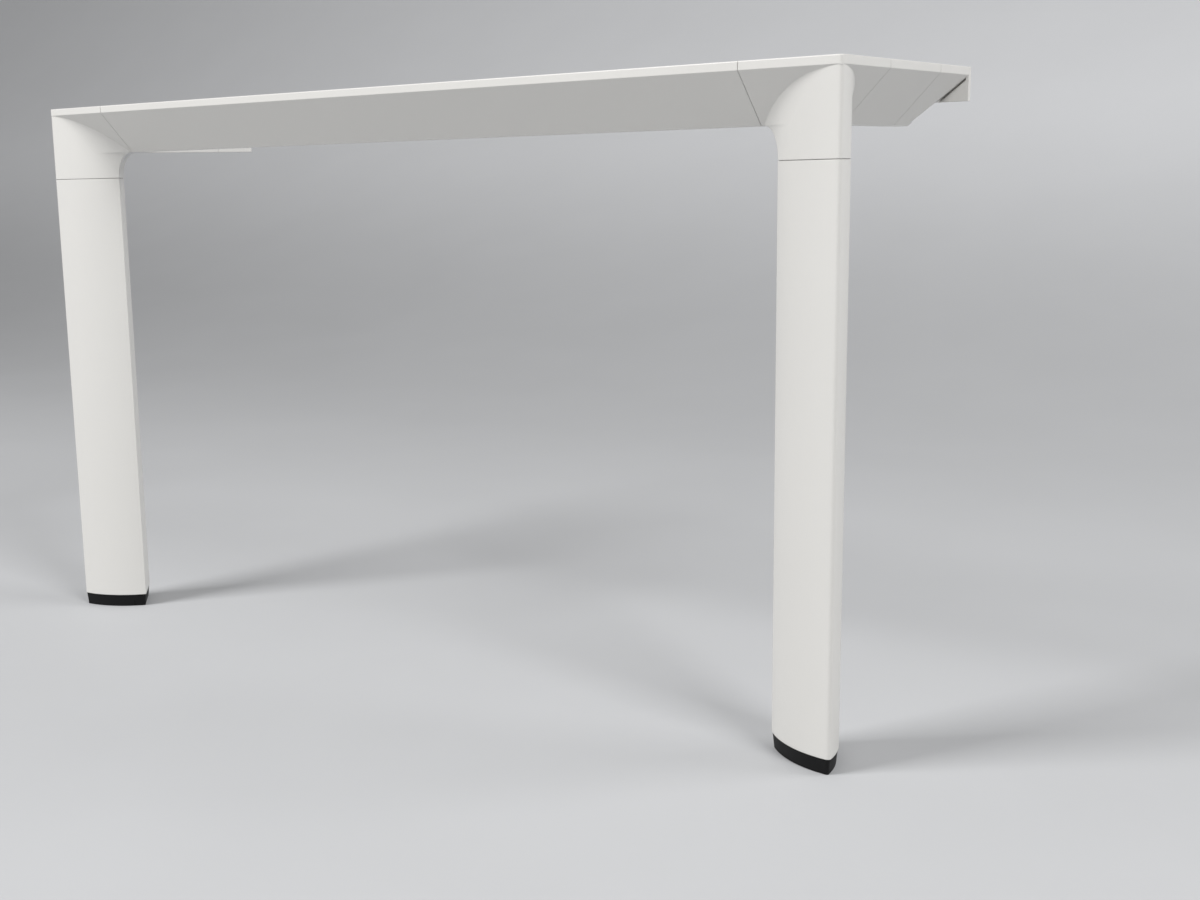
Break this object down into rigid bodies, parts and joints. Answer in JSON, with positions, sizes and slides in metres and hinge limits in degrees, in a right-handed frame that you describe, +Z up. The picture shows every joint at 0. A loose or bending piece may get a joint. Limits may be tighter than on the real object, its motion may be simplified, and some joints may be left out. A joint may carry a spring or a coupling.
{
  "type": "table frame",
  "caption": "Half of a table frame: a long front rail on shield-section legs with flared corner castings, open screw pockets and short return rails that end in docking plates.",
  "frame": {"origin": "on the floor, under the middle of the frame's outline", "axes": "+X along the front rail, +Y from the front rail towards the docking plates, +Z up"},
  "size_m": [1.2, 0.33, 0.72],
  "materials": {
    "powder_coat": "satin",
    "foot_cap": "matte",
    "steel": "satin"
  },
  "bodies": {
    "root": {"front_rail": "powder_coat", "left_corner_casting": "powder_coat", "left_side_rail": "powder_coat", "left_end_piece": "powder_coat", "left_docking_plate": "powder_coat", "left_leg": "powder_coat", "left_foot": "foot_cap", "left_front_rail_screw": "steel", "left_front_rail_washer": "steel", "left_side_rail_screw": "steel", "left_side_rail_washer": "steel", "left_end_piece_screw": "steel", "left_end_piece_washer": "steel", "left_leg_screws": "steel", "left_plate_screws": "steel", "right_corner_casting": "powder_coat", "right_side_rail": "powder_coat", "right_end_piece": "powder_coat", "right_docking_plate": "powder_coat", "right_leg": "powder_coat", "right_foot": "foot_cap", "right_front_rail_screw": "steel", "right_front_rail_washer": "steel", "right_side_rail_screw": "steel", "right_side_rail_washer": "steel", "right_end_piece_screw": "steel", "right_end_piece_washer": "steel", "right_leg_screws": "steel", "right_plate_screws": "steel"}
  },
  "joints": []
}
